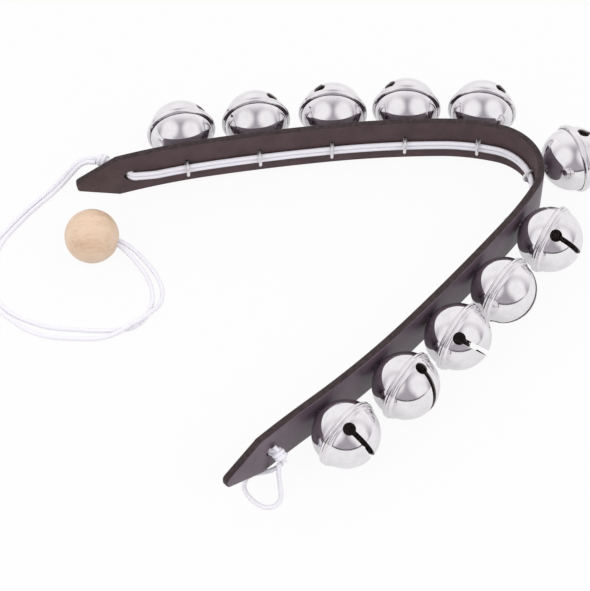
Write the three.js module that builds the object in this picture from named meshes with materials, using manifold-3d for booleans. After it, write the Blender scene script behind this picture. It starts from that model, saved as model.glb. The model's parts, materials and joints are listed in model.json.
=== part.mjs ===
// A leather strap of eleven jingle bells, standing on its long edge in a bent V.
// Each bell is two crimped half shells that turn on a wire shank. The shank's eye
// goes through a slit in the strap, and an elastic cord runs through all the eyes.
// Millimetres and degrees, +Z up, origin on the table under the middle of the strap.

import * as THREE from "three";
import { mergeVertices } from "three/addons/utils/BufferGeometryUtils.js";
import Module from "manifold-3d";

const wasm = await Module();
wasm.setup();

// Strap
const strapLength = 450;
const strapWidth = 24;
const strapThickness = 3.4;
const strapBevel = 0.4;
const tongueLength = 22;
const taperLength = 19.5;
const tipHeight = 7.5;
const tipCornerRadius = 2;
const strapHeading = 17.9;
const stationSpacing = 22;
const stationTurn = 8.1;
// Shares of the length between the tongues, each with the angle that it turns through.
const bendShares = [
  [0.0985, -7.1],
  [0.1478, -3.9],
  [0.1232, -6.3],
  [0.069, -16.5],
  [0.1083, -104.3],
  [0.064, -8.3],
  [0.1724, -3.0],
  [0.1478, -7.9],
  [0.069, 2.8],
];
const tipStationShares = [0, 0.15, 0.5, 1];

// Bells
const bellCount = 11;
const bellPitch = 34.5;
const shellRadius = 14.9;
const shellWall = 0.8;
const bellGap = 0.5;
const slackBellGap = 2.2;
const slackBell = 6;
const slitRise = 1;
const lipSheet = 0.5;
const flangeSheet = 0.6;
const flangeGrip = 0.3;
const seamClearance = 0.25;
const poleHoleRadius = 2.1;
const slotWidth = 2.4;
const soundHoleDiameter = 5.7;
const soundHoleAngle = 70;
const shellSides = 12;
const shellRings = 3;
// Where each bell has swung to on its shank, and how far its slot has turned.
const bellYaws = [-2.6, -3.4, -8.4, -6, 2, 7.1, 2.4, 0.4, 5.5, 7.1, 6.1];
const slotRolls = [139, 126, 62, 53, 124, 80, 115, 33, 124, 75, 106];

// Shanks and pellets
const wireDiameter = 1.5;
const wireSides = 6;
const eyeDiameter = 8.4;
const eyeReach = 5.2;
const legGap = 0.4;
const slitClearance = 0.3;
const splayBendRadius = 1.2;
const splayAngle = 70;
const splayReach = 4.2;
const splayRise = 0.1;
const eyeSteps = 8;
const splaySteps = 1;
const pelletDiameter = 6.4;
const pelletSides = 8;
const pelletRings = 4;
const pelletClearance = 0.4;

// Cord, knots and toggle ball
const cordDiameter = 2.1;
const cordSides = 8;
const runSides = 6;
const strandSpacing = 2.45;
const cordFaceGap = 0.45;
const cordBendRadius = 4.2;
const cordBendSteps = 3;
const endHoleRadius = 2.8;
const endHoleDistance = 25;
const endHoleLean = 0.6;
const knotRadius = 3.7;
const knotCoreShare = 0.93;
const knotGap = 0.3;
const knotLean = 15;
const knotSides = 10;
const knotTurnSides = 5;
const tailKnotDistance = 15.3;
const tailKnotStandoff = 9;
const tailKnotRise = 0.8;
const tailLeadSlant = 1.4;
const tailLeadStandoff = 2.6;
const loopKnotDistance = 26;
const loopKnotStandoff = 5.8;
const loopKnotDrop = 0.6;
const ballDiameter = 25;
const ballBore = 5.4;
const ballBoreDepth = 7.3;
const ballSides = 16;
const ballRings = 12;

// Routes of the free cord from the two knots, with the place of the ball on the table.
const innerTail = [
  [-114.3, 64.2, 15.8], [-118.7, 65.6, 14.2], [-122.6, 65.3, 11.7], [-126.7, 62.5, 8.4],
  [-131.3, 58.9, 4.9], [-136.3, 55.1, 2.3], [-141.2, 50.6, 1.2], [-145.5, 45.5, 1.1],
  [-149.4, 40.1, 1.1], [-153.1, 34.8, 1.1], [-156.3, 29.1, 1.1], [-158.7, 22.8, 1.1],
  [-160.4, 16.2, 1.1], [-160.9, 9.3, 1.1], [-159.8, 2.6, 1.1], [-157.1, -3.5, 1.1],
  [-152.7, -9.1, 1.1], [-147.1, -13.5, 1.1], [-140.5, -16.8, 1.1], [-133.5, -19.3, 1.1],
  [-126.5, -20.5, 1.1], [-119.5, -21.0, 1.1], [-112.5, -21.5, 1.1], [-105.7, -21.6, 1.1],
  [-99.3, -21.0, 1.1], [-93.7, -19.5, 1.1], [-89.6, -15.5, 1.1], [-87.2, -10.1, 1.1],
  [-86.1, -3.5, 1.1], [-87.1, 3.3, 1.1], [-89.7, 9.5, 1.5], [-93.7, 14.7, 3.4],
  [-98.0, 18.3, 6.6], [-102.5, 20.5, 9.7], [-108.9, 21.3, 11.3],
];
const outerTail = [
  [-113.6, 66.5, 15.9], [-118.4, 68.1, 14.2], [-123.5, 67.6, 11.7], [-128.2, 64.5, 8.4],
  [-132.8, 60.8, 4.9], [-137.9, 57.0, 2.3], [-143.0, 52.3, 1.2], [-147.4, 47.0, 1.1],
  [-151.5, 41.6, 1.1], [-155.2, 36.2, 1.1], [-159.4, 29.5, 1.1], [-162.5, 23.3, 1.1],
  [-164.7, 16.3, 1.1], [-165.4, 8.9, 1.1], [-164.1, 1.7, 1.1], [-160.4, -5.1, 1.1],
  [-154.8, -10.7, 1.1], [-149.1, -15.7, 1.1], [-142.9, -20.5, 1.1], [-136.1, -23.7, 1.1],
  [-128.7, -25.3, 1.1], [-121.3, -25.9, 1.1], [-113.9, -26.1, 1.2], [-106.7, -25.8, 2.0],
  [-100.5, -23.9, 3.2], [-95.3, -20.1, 3.6], [-90.5, -16.9, 3.7], [-86.1, -12.7, 3.5],
  [-82.8, -7.7, 2.1], [-81.7, -1.5, 1.1], [-82.9, 5.1, 1.1], [-86.1, 11.5, 1.4],
  [-90.7, 16.9, 3.2], [-95.9, 20.7, 6.5], [-101.7, 22.8, 9.6], [-108.6, 23.7, 11.4],
];
const closingLoop = [
  [-28.2, -99.2, 13.0], [-28.4, -101.0, 9.6], [-28.2, -102.4, 6.0], [-27.8, -104.3, 2.9],
  [-27.4, -107.1, 1.3], [-27.9, -110.4, 1.1], [-30.4, -113.1, 1.1], [-34.0, -113.6, 1.1],
  [-37.7, -111.8, 1.1], [-41.0, -108.5, 1.1], [-43.1, -104.4, 1.1], [-42.7, -100.1, 1.1],
  [-39.9, -97.2, 1.1], [-35.9, -96.2, 1.1], [-32.2, -95.9, 2.0], [-28.8, -95.4, 4.3],
  [-26.8, -95.1, 7.9], [-26.9, -95.6, 12.0],
];
const ballSpot = [-114.2, 23.3];

const overrun = 1;
const cutterSides = 10;

// Worked out from the sizes above
const strapHalf = strapThickness / 2;
const lipRadius = shellRadius + seamClearance;
const flangeRadius = lipRadius + flangeGrip;
const channelRadius = flangeRadius + seamClearance;
const rimRadius = channelRadius + lipSheet;
const axisHeight = rimRadius;
const strapMiddle = axisHeight - slitRise;
const innerRadius = shellRadius - shellWall;
const wireRadius = wireDiameter / 2;
const cordRadius = cordDiameter / 2;
const cordOffset = strapHalf + cordFaceGap + cordRadius;

const rad = THREE.MathUtils.degToRad;

// Materials, one for each mesh
function material(color, roughness, metalness) {
  return new THREE.MeshStandardMaterial({ color, roughness, metalness });
}
const leather = () => material(0x4a3836, 0.62, 0);
const nickel = () => material(0xc9c8cc, 0.12, 1);
const steel = () => material(0x8f9094, 0.35, 1);
const elastic = () => material(0xeeeeee, 0.85, 0);
const maple = () => material(0xe2c79b, 0.55, 0);

function toSolid(geometry) {
  const bare = geometry.index ? geometry.toNonIndexed() : geometry.clone();
  bare.deleteAttribute("normal");
  bare.deleteAttribute("uv");
  const merged = mergeVertices(bare);
  const mesh = new wasm.Mesh({
    numProp: 3,
    vertProperties: new Float32Array(merged.attributes.position.array),
    triVerts: new Uint32Array(merged.index.array),
  });
  return new wasm.Manifold(mesh);
}

function toGeometry(solid) {
  const { vertProperties, triVerts } = solid.getMesh();
  const geometry = new THREE.BufferGeometry();
  geometry.setAttribute("position", new THREE.BufferAttribute(vertProperties, 3));
  geometry.setIndex(new THREE.BufferAttribute(triVerts, 1));
  return geometry.toNonIndexed();
}

function piece(name, geometry, finish) {
  geometry.computeVertexNormals();
  const mesh = new THREE.Mesh(geometry, finish);
  mesh.name = name;
  return mesh;
}

// A curve that takes its steps at its own points, close together where it bends.
class SteppedCurve extends THREE.CatmullRomCurve3 {
  getUtoTmapping(u) {
    return u;
  }
}

function polygon(radius, sides) {
  const corners = [];
  for (let k = 0; k < sides; k++) {
    const turn = ((k + 0.5) / sides) * 2 * Math.PI;
    corners.push(new THREE.Vector2(radius * Math.cos(turn), radius * Math.sin(turn)));
  }
  return new THREE.Shape(corners);
}

function tube(points, diameter, sides) {
  return new THREE.ExtrudeGeometry(polygon(diameter / 2, sides), {
    steps: points.length - 1,
    extrudePath: new SteppedCurve(points),
  });
}

// Skins rings of equal count, each seen counterclockwise from the end that comes last.
function loft(rings) {
  const corners = [];
  const side = rings[0].length;
  const last = rings.length - 1;
  const face = (a, b, c) => corners.push(...a, ...b, ...c);
  for (let j = 1; j < side - 1; j++) {
    face(rings[0][0], rings[0][j + 1], rings[0][j]);
    face(rings[last][0], rings[last][j], rings[last][j + 1]);
  }
  for (let i = 0; i < last; i++) {
    for (let j = 0; j < side; j++) {
      const next = (j + 1) % side;
      face(rings[i][j], rings[i][next], rings[i + 1][next]);
      face(rings[i][j], rings[i + 1][next], rings[i + 1][j]);
    }
  }
  const geometry = new THREE.BufferGeometry();
  geometry.setAttribute("position", new THREE.Float32BufferAttribute(corners, 3));
  return geometry;
}

// The strap's middle line: straight tongues, and arcs of constant turn between them.
const bentLength = strapLength - 2 * tongueLength;
const strapArcs = [
  [tongueLength, 0],
  ...bendShares.map(([share, turn]) => [share * bentLength, turn]),
  [tongueLength, 0],
];

function strapPlace(distance) {
  let x = 0;
  let y = 0;
  let heading = rad(strapHeading);
  let left = distance;
  for (const [length, turn] of strapArcs) {
    const run = Math.min(left, length);
    const bend = (rad(turn) * run) / length;
    const chord = bend === 0 ? run : ((2 * run) / bend) * Math.sin(bend / 2);
    x += chord * Math.cos(heading + bend / 2);
    y += chord * Math.sin(heading + bend / 2);
    heading += bend;
    left -= run;
  }
  return { x, y, heading };
}

// A point off the middle line: outward is the bells' side.
function onStrap(distance, outward, height) {
  const { x, y, heading } = strapPlace(distance);
  return new THREE.Vector3(
    x - outward * Math.sin(heading),
    y + outward * Math.cos(heading),
    height,
  );
}

// Distances where the strap has a section: fine at the tips and round the bends.
function strapStations() {
  const tip = tipStationShares.map((share) => share * tipCornerRadius);
  const stations = [...tip, taperLength];
  let start = 0;
  for (const [length, turn] of strapArcs.slice(0, -1)) {
    const byLength = length / stationSpacing;
    const byTurn = Math.abs(turn) / stationTurn;
    const steps = turn === 0 ? 1 : Math.ceil(Math.max(byLength, byTurn));
    for (let k = 1; k <= steps; k++) stations.push(start + (length * k) / steps);
    start += length;
  }
  stations.push(strapLength - taperLength);
  tip.reverse().forEach((distance) => stations.push(strapLength - distance));
  return stations.sort((a, b) => a - b);
}

// Half the strap's height: it tapers to a blunt tip with round corners.
function halfHeight(distance) {
  const fromTip = Math.max(0, Math.min(distance, strapLength - distance));
  const slope = (strapWidth - tipHeight) / 2 / taperLength;
  const tapered = Math.min(strapWidth / 2, tipHeight / 2 + slope * fromTip);
  const intoCorner = Math.max(0, tipCornerRadius - fromTip);
  const rounded = Math.sqrt(tipCornerRadius ** 2 - intoCorner ** 2);
  return tapered - tipCornerRadius + rounded;
}

function strapSection(distance) {
  const half = halfHeight(distance);
  const outline = [
    [-strapHalf, strapBevel - half],
    [strapBevel - strapHalf, -half],
    [strapHalf - strapBevel, -half],
    [strapHalf, strapBevel - half],
    [strapHalf, half - strapBevel],
    [strapHalf - strapBevel, half],
    [strapBevel - strapHalf, half],
    [-strapHalf, half - strapBevel],
  ];
  return outline.map(([outward, up]) => onStrap(distance, outward, strapMiddle + up));
}

// Each bell's frame: on the strap's middle line at its slit, X out along the shank.
function bellFrame(index) {
  const middle = (bellCount - 1) / 2;
  const distance = strapLength / 2 + (index - middle) * bellPitch;
  const { x, y, heading } = strapPlace(distance);
  const group = new THREE.Group();
  group.position.set(x, y, axisHeight);
  group.rotation.z = heading + Math.PI / 2 + rad(bellYaws[index]);
  group.updateMatrixWorld();
  return group;
}

function gapOf(index) {
  return index + 1 === slackBell ? slackBellGap : bellGap;
}

// Bell shells are revolved about Y, then laid along the shank's X.
function revolve(profile) {
  const points = profile.map(([radius, along]) => new THREE.Vector2(radius, along));
  return new THREE.LatheGeometry(points, shellSides).rotateZ(-Math.PI / 2);
}

function arcPoints(radius, fromAngle, toAngle, steps) {
  const points = [];
  for (let k = 0; k <= steps; k++) {
    const angle = fromAngle + ((toAngle - fromAngle) * k) / steps;
    points.push([radius * Math.sin(angle), radius * Math.cos(angle)]);
  }
  return points;
}

const flangeHalf = flangeSheet / 2;
const channelHalf = flangeHalf + seamClearance;
const lipHalf = channelHalf + lipSheet;

// Outer half shell: its edge folds out, over the inner half's flange and back in.
function outerShellBlank() {
  const outerEdge = Math.acos(lipHalf / shellRadius);
  const innerEdge = Math.acos(channelHalf / innerRadius);
  const fold = [
    [rimRadius, lipHalf],
    [rimRadius, -lipHalf],
    [lipRadius, -lipHalf],
    [lipRadius, -channelHalf],
    [channelRadius, -channelHalf],
    [channelRadius, channelHalf],
  ];
  const outside = arcPoints(shellRadius, 0, outerEdge, shellRings);
  const inside = arcPoints(innerRadius, innerEdge, 0, shellRings - 1);
  return revolve([...outside, ...fold, ...inside].reverse());
}

// Keyhole slot: a slit over the pole that ends in a round hole at each side.
function keyholeCutter(roll) {
  const angle = rad(soundHoleAngle);
  const reach = shellRadius * Math.sin(angle);
  const foot = shellRadius * Math.cos(angle);
  const depth = shellRadius + overrun - foot;
  const slit = new THREE.BoxGeometry(depth, 2 * reach, slotWidth);
  slit.translate(foot + depth / 2, 0, 0);
  let cutter = toSolid(slit);
  for (const side of [-1, 1]) {
    const length = shellRadius / 2 + overrun;
    const radius = soundHoleDiameter / 2;
    const hole = new THREE.CylinderGeometry(radius, radius, length, cutterSides);
    hole.translate(0, (shellRadius + length) / 2, 0);
    hole.rotateZ(side * angle - Math.PI / 2);
    cutter = cutter.add(toSolid(hole));
  }
  return toSolid(toGeometry(cutter).rotateX(rad(roll)));
}

function outerShell(index) {
  const cutter = keyholeCutter(slotRolls[index]);
  return toGeometry(toSolid(outerShellBlank()).subtract(cutter));
}

// Inner half shell: a hole at the pole for the shank, and a flat flange at the edge.
function innerShell() {
  const outerHole = Math.PI - Math.asin(poleHoleRadius / shellRadius);
  const innerHole = Math.PI - Math.asin(poleHoleRadius / innerRadius);
  const outerEdge = Math.PI - Math.acos(flangeHalf / shellRadius);
  const innerEdge = Math.acos(flangeHalf / innerRadius);
  const outside = arcPoints(shellRadius, outerHole, outerEdge, shellRings - 1);
  const inside = arcPoints(innerRadius, innerEdge, innerHole, shellRings - 1);
  const flange = [
    [flangeRadius, -flangeHalf],
    [flangeRadius, flangeHalf],
  ];
  return revolve([...outside, ...flange, ...inside, outside[0]]);
}

// Wire shank in its bell's frame: splayed end, leg, eye, leg and splayed end.
function shank(gap) {
  const leg = legGap / 2 + wireRadius;
  const eyeRadius = eyeDiameter / 2 - wireRadius;
  const eyeCentre = eyeDiameter / 2 - strapHalf - eyeReach;
  const neck = Math.asin(leg / eyeRadius);
  const bendStart = strapHalf + gap + shellWall + splayRise;
  const half = [];
  for (let k = 0; k <= eyeSteps / 2; k++) {
    const angle = Math.PI - ((Math.PI - neck) * 2 * k) / eyeSteps;
    half.push([eyeCentre + eyeRadius * Math.cos(angle), eyeRadius * Math.sin(angle)]);
  }
  half.push([eyeCentre + eyeRadius * Math.cos(neck) + wireRadius, leg]);
  for (let k = 0; k <= splaySteps; k++) {
    const angle = (rad(splayAngle) * k) / splaySteps;
    const along = bendStart + splayBendRadius * Math.sin(angle);
    half.push([along, leg + splayBendRadius * (1 - Math.cos(angle))]);
  }
  const [bendEnd, bendHeight] = half[half.length - 1];
  const run = (splayReach - bendHeight) / Math.tan(rad(splayAngle));
  half.push([bendEnd + run, splayReach]);
  const upper = half.map(([along, up]) => new THREE.Vector3(along, 0, up));
  const lower = half.slice(1).map(([along, up]) => new THREE.Vector3(along, 0, -up));
  return tube([...lower.reverse(), ...upper], wireDiameter, wireSides);
}

function pellet() {
  const geometry = new THREE.SphereGeometry(pelletDiameter / 2, pelletSides, pelletRings);
  return geometry.rotateX(Math.PI / 2);
}

function slitCutter(frame) {
  const height = eyeDiameter + 2 * slitClearance;
  const width = wireDiameter + 2 * slitClearance;
  const box = new THREE.BoxGeometry(strapThickness + 2 * overrun, width, height);
  return toSolid(box.applyMatrix4(frame.matrixWorld));
}

function endHoleCutter(distance) {
  const length = strapThickness + 2 * overrun;
  const { x, y, heading } = strapPlace(distance);
  const hole = new THREE.CylinderGeometry(endHoleRadius, endHoleRadius, length, cutterSides);
  hole.rotateZ(heading);
  hole.translate(x, y, axisHeight);
  return toSolid(hole);
}

const frames = Array.from({ length: bellCount }, (_, index) => bellFrame(index));

function leatherStrap() {
  let solid = toSolid(loft(strapStations().map(strapSection)));
  for (const frame of frames) solid = solid.subtract(slitCutter(frame));
  solid = solid.subtract(endHoleCutter(endHoleDistance));
  solid = solid.subtract(endHoleCutter(strapLength - endHoleDistance));
  return toGeometry(solid);
}

// Knots stand off the strap's outer face, past each end hole.
const tailKnotPlace = onStrap(tailKnotDistance, tailKnotStandoff, axisHeight + tailKnotRise);
const loopKnotPlace = onStrap(
  strapLength - loopKnotDistance,
  loopKnotStandoff,
  axisHeight - loopKnotDrop,
);

// Where a strand that comes from a point meets a knot, beside the other strand.
function knotEnd(knot, from) {
  const rise = from.z - axisHeight;
  const anchor = knot.clone().setZ(knot.z + rise);
  const reach = Math.sqrt(knotRadius ** 2 - rise ** 2) + knotGap;
  return anchor.add(from.clone().sub(anchor).setLength(reach));
}

// One strand of the cord: from knot to knot through both end holes and all the eyes.
function cordRun(height) {
  const farHole = endHoleDistance - endHoleLean;
  const nearHole = strapLength - farHole;
  const lead = onStrap(endHoleDistance - tailLeadSlant, tailLeadStandoff, height);
  const mouth = onStrap(nearHole, strapHalf, height);
  const bend = (hole, side) =>
    Array.from({ length: cordBendSteps }, (_, k) => {
      const angle = (Math.PI / 2) * (k / cordBendSteps);
      const along = hole + side * cordBendRadius * (1 - Math.cos(angle));
      const outward = cordBendRadius * (1 - Math.sin(angle)) - cordOffset;
      return onStrap(along, outward, height);
    });
  const start = farHole + cordBendRadius;
  const end = nearHole - cordBendRadius;
  const between = strapStations().filter((d) => d > start && d < end);
  const held = [start, ...between, end].map((d) => onStrap(d, -cordOffset, height));
  return [
    knotEnd(tailKnotPlace, lead),
    lead,
    ...bend(farHole, 1),
    ...held,
    ...bend(nearHole, -1).reverse(),
    knotEnd(loopKnotPlace, mouth),
  ];
}

// A knot: two turns of the cord drawn tight round a core, one upright and one flat,
// both through the line along which the held strands come in.
function knot(place, from) {
  const turn = knotRadius - cordRadius;
  const core = new THREE.SphereGeometry(knotCoreShare * knotRadius, knotSides, knotSides / 2);
  let solid = toSolid(core);
  for (const tilt of [90 - knotLean, -knotLean]) {
    const wrap = new THREE.TorusGeometry(turn, cordRadius, knotTurnSides, knotSides);
    solid = solid.add(toSolid(wrap.rotateX(rad(tilt))));
  }
  const geometry = toGeometry(solid);
  return geometry.rotateZ(Math.atan2(from.y - place.y, from.x - place.x));
}

const strap = new THREE.Group();
strap.add(piece("leather_strap", leatherStrap(), leather()));
frames.forEach((frame, index) => {
  const name = `bell_${String(index + 1).padStart(2, "0")}`;
  const gap = gapOf(index);
  const outer = piece(`${name}_outer_shell`, outerShell(index), nickel());
  const inner = piece(`${name}_inner_shell`, innerShell(), nickel());
  const ball = piece(`${name}_pellet`, pellet(), steel());
  const centre = strapHalf + gap + shellRadius;
  outer.position.x = centre;
  inner.position.x = centre;
  ball.position.set(centre, 0, pelletDiameter / 2 + pelletClearance - innerRadius);
  frame.add(outer, inner, piece(`${name}_shank`, shank(gap), nickel()), ball);
  strap.add(frame);
});
const upperHeight = axisHeight + strandSpacing / 2;
const lowerHeight = axisHeight - strandSpacing / 2;
const upperRun = tube(cordRun(upperHeight), cordDiameter, runSides);
const lowerRun = tube(cordRun(lowerHeight), cordDiameter, runSides);
strap.add(piece("cord_run_upper", upperRun, elastic()));
strap.add(piece("cord_run_lower", lowerRun, elastic()));

// The origin is under the middle of what the strap holds.
const box = new THREE.Box3().setFromObject(strap, true);
const middle = box.getCenter(new THREE.Vector3());
strap.position.set(-middle.x, -middle.y, 0);

const tailKnotShape = knot(tailKnotPlace, onStrap(endHoleDistance, strapHalf, axisHeight));
const tailKnot = piece("tail_knot", tailKnotShape, elastic());
tailKnot.position.copy(tailKnotPlace);
const nearHoleDistance = strapLength - endHoleDistance;
const loopKnotShape = knot(loopKnotPlace, onStrap(nearHoleDistance, strapHalf, axisHeight));
const loopKnot = piece("loop_knot", loopKnotShape, elastic());
loopKnot.position.copy(loopKnotPlace);
strap.add(tailKnot, loopKnot);

function freeCord(name, route) {
  const points = route.map((point) => new THREE.Vector3(...point));
  return piece(name, tube(points, cordDiameter, cordSides), elastic());
}

// The ball lies on the table, and its bore looks at the ends of the two tails.
function toggleBall(centre) {
  const radius = ballDiameter / 2;
  const ends = [innerTail, outerTail].map((route) => new THREE.Vector3(...route.at(-1)));
  const aim = ends[0].lerp(ends[1], 0.5).sub(centre).normalize();
  const length = ballBoreDepth + overrun;
  const bore = new THREE.CylinderGeometry(ballBore / 2, ballBore / 2, length, cutterSides);
  bore.translate(0, radius + overrun - length / 2, 0);
  const up = new THREE.Vector3(0, 1, 0);
  bore.applyQuaternion(new THREE.Quaternion().setFromUnitVectors(up, aim));
  const sphere = new THREE.SphereGeometry(radius, ballSides, ballRings);
  const solid = toSolid(sphere.rotateX(Math.PI / 2)).subtract(toSolid(bore));
  const mesh = piece("toggle_ball", toGeometry(solid), maple());
  mesh.position.copy(centre);
  return mesh;
}

const bellStrap = new THREE.Group();
bellStrap.add(strap);
bellStrap.add(freeCord("tail_strand_inner", innerTail));
bellStrap.add(freeCord("tail_strand_outer", outerTail));
bellStrap.add(freeCord("closing_loop", closingLoop));
bellStrap.add(toggleBall(new THREE.Vector3(...ballSpot, ballDiameter / 2)));

export default bellStrap;
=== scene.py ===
# %% [markdown]
# # A strap of jingle bells
# A leather band carries eleven pressed metal bells. Each bell hangs on a wire shank that goes
# through a slit in the leather. An elastic cord runs through all the shanks' eyes and keeps
# them in place, and its two free ends hold a wooden ball that closes the strap.
#
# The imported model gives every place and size. Each piece here is built in metres in that same
# frame, rides on the body that carries it, and stands for the plain solid it replaces.

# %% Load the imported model
import json
from math import acos, asin, atan2, ceil, cos, pi, radians, sin, sqrt, tan

import bmesh
import bpy
from mathutils import Matrix, Vector


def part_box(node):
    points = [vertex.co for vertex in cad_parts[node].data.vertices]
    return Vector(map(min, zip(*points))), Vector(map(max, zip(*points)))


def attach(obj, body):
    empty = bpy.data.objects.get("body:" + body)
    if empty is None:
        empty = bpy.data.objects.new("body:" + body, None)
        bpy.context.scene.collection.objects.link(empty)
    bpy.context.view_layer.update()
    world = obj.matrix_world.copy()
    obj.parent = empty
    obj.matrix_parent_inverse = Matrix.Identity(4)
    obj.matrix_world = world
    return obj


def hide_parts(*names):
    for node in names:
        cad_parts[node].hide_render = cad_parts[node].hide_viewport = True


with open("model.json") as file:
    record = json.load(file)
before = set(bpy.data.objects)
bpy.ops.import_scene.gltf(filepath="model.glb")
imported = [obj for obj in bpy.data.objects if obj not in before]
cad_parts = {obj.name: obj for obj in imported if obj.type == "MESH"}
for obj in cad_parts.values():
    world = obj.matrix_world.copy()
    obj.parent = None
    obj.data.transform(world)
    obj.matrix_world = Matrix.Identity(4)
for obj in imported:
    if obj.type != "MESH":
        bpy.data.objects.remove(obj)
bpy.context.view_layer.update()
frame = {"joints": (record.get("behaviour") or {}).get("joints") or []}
MM = 0.001

# %% [markdown]
# ## The camera
# The strap is seen from the front and well above, from about a metre away with a long lens.
# The height of the view was worked out from known sizes: the bells are all alike, and they lie
# at even steps along the leather, so their sizes and spacing fix the distance and the tilt.

# %% Camera
eye_target = Vector((-21.465, -1.141, 0)) * MM
eye_distance = 1.023
eye_elevation = radians(53.7)
camera_data = bpy.data.cameras.new("camera")
camera_data.lens = 137.29
camera_data.sensor_width = 36
camera_data.sensor_fit = "HORIZONTAL"
camera_data.clip_start = 0.05
camera = bpy.data.objects.new("camera", camera_data)
bpy.context.collection.objects.link(camera)
away = Vector((0, -cos(eye_elevation), sin(eye_elevation)))
camera.location = eye_target + away * eye_distance
camera.rotation_euler = away.to_track_quat("Z", "Y").to_euler()
bpy.context.scene.camera = camera
bpy.context.scene.view_settings.view_transform = "Standard"
print("camera at", [round(v, 3) for v in camera.location])

# %% [markdown]
# ## Writing materials as sums
# A procedural material is arithmetic on values that change over a surface. Wrapping a socket in
# a small class lets that arithmetic be written as plain expressions: each operator adds one
# Math node. Every other node comes from the one method `node`.


# %% A socket that can be calculated with
class Value:
    """One changing number, colour or vector of a material."""

    def __init__(self, socket):
        self.socket = socket

    def node(self, kind, settings=None, output=0, **given):
        """Adds a node, feeds it the given values, and gives back one of its outputs."""
        tree = self.socket.id_data
        made = tree.nodes.new(kind)
        for name, setting in (settings or {}).items():
            if name != "stops":
                setattr(made, name, setting)
                continue
            ramp = made.color_ramp.elements
            while len(ramp) < len(setting):
                ramp.new(0.5)
            for stop, (place, colour) in zip(ramp, setting):
                stop.position = place
                stop.color = (*colour, 1)
        for name, value in given.items():
            key = int(name[1:]) if name[1:].isdigit() else name.replace("_", " ")
            if isinstance(value, Value):
                tree.links.new(value.socket, made.inputs[key])
            else:
                made.inputs[key].default_value = value
        return Value(made.outputs[output])

    def _sum(self, operation, first, second):
        return self.node("ShaderNodeMath", {"operation": operation}, i0=first, i1=second)

    def __add__(self, other):
        return self._sum("ADD", self, other)

    def __sub__(self, other):
        return self._sum("SUBTRACT", self, other)

    def __rsub__(self, other):
        return self._sum("SUBTRACT", other, self)

    def __mul__(self, other):
        return self._sum("MULTIPLY", self, other)

    def __truediv__(self, other):
        return self._sum("DIVIDE", self, other)

    def wave(self, operation="SINE"):
        return self._sum(operation, self, 0.0)

    def between(self, low, high):
        """0 below low, 1 above high, and a smooth rise from one to the other."""
        return self.node(
            "ShaderNodeMapRange", {"interpolation_type": "SMOOTHSTEP"},
            Value=self, From_Min=low, From_Max=high,
        )

    def tint(self, low, high):
        """A colour that goes from low to high as this value goes from 0 to 1."""
        return self.node("ShaderNodeValToRGB", {"stops": [(0, low), (1, high)]}, Fac=self)


# %% A material's start
def new_finish(name, **constants):
    """A material, its shader and the places on the piece that it can read."""
    finish = bpy.data.materials.new(name)
    finish.use_nodes = True
    shader = finish.node_tree.nodes["Principled BSDF"]
    for key, constant in constants.items():
        shader.inputs[key.replace("_", " ")].default_value = constant
    place = finish.node_tree.nodes.new("ShaderNodeTexCoord")
    return finish, shader, Value(place.outputs["Object"])


def lay_on(shader, name, value):
    """Feeds a changing value to one of the shader's inputs."""
    shader.id_data.links.new(value.socket, shader.inputs[name])


def speckle(place, size, detail=2.0, roughness=0.5):
    """Even, cloudy noise with spots of about this size in metres."""
    return place.node(
        "ShaderNodeTexNoise", Vector=place, Scale=1 / size, Detail=detail, Roughness=roughness
    )


def relief(height, depth):
    """Turns a height from 0 to 1 into a dented surface that is depth metres deep."""
    return height.node("ShaderNodeBump", Height=height, Distance=depth, Strength=1.0)


# %% [markdown]
# ## Floor, light and the room that the metal mirrors
# Polished metal has almost no colour of its own: it shows the room. Behind the strap the room
# is white. In front it is a pale grey with a large soft patch of white on each side and a
# smaller one below it, so each bell gets two tall white patches with a grey band in the middle.
# A thin dark line low in front is the gap between table and wall. The white table fills the
# rest of the bell. For the camera the table glows, so it reads as clean white, and it keeps a
# faint shadow. For reflections it glows only half as much, so the bells stand out against it.

# %% Floor
FLOOR_HALF, SEEN_GLOW, MIRRORED_GLOW = 3, 0.93, 0.5
floor_shape = bmesh.new()
bmesh.ops.create_grid(floor_shape, x_segments=1, y_segments=1, size=FLOOR_HALF)
floor_mesh = bpy.data.meshes.new("floor")
floor_shape.to_mesh(floor_mesh)
floor = bpy.data.objects.new("floor", floor_mesh)
bpy.context.collection.objects.link(floor)
paper, paper_shader, _ = new_finish("white_table", Roughness=0.9)
paper_shader.inputs["Base Color"].default_value = (0.8, 0.8, 0.8, 1)
nodes, links = paper.node_tree.nodes, paper.node_tree.links
seen = nodes.new("ShaderNodeLightPath")
glow = nodes.new("ShaderNodeEmission")
glow.inputs["Color"].default_value = (1, 0.998, 1, 1)
glow.inputs["Strength"].default_value = 1.0
glow_share = Value(seen.outputs["Is Camera Ray"]) * SEEN_GLOW
glow_share = glow_share + Value(seen.outputs["Is Glossy Ray"]) * MIRRORED_GLOW
blend = nodes.new("ShaderNodeMixShader")
links.new(glow_share.socket, blend.inputs["Fac"])
links.new(paper_shader.outputs[0], blend.inputs[1])
links.new(glow.outputs[0], blend.inputs[2])
links.new(blend.outputs[0], nodes["Material Output"].inputs["Surface"])
floor_mesh.materials.append(paper)
print("floor", [round(v, 2) for v in floor.dimensions])

# %% Room
room = bpy.data.worlds.new("room")
bpy.context.scene.world = room
room.use_nodes = True
sky = room.node_tree.nodes["Background"]
look = Value(room.node_tree.nodes.new("ShaderNodeTexCoord").outputs["Generated"])
forward = look.node("ShaderNodeSeparateXYZ", Vector=look, output=1) * -1
height = look.node("ShaderNodeSeparateXYZ", Vector=look, output=2)


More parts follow.
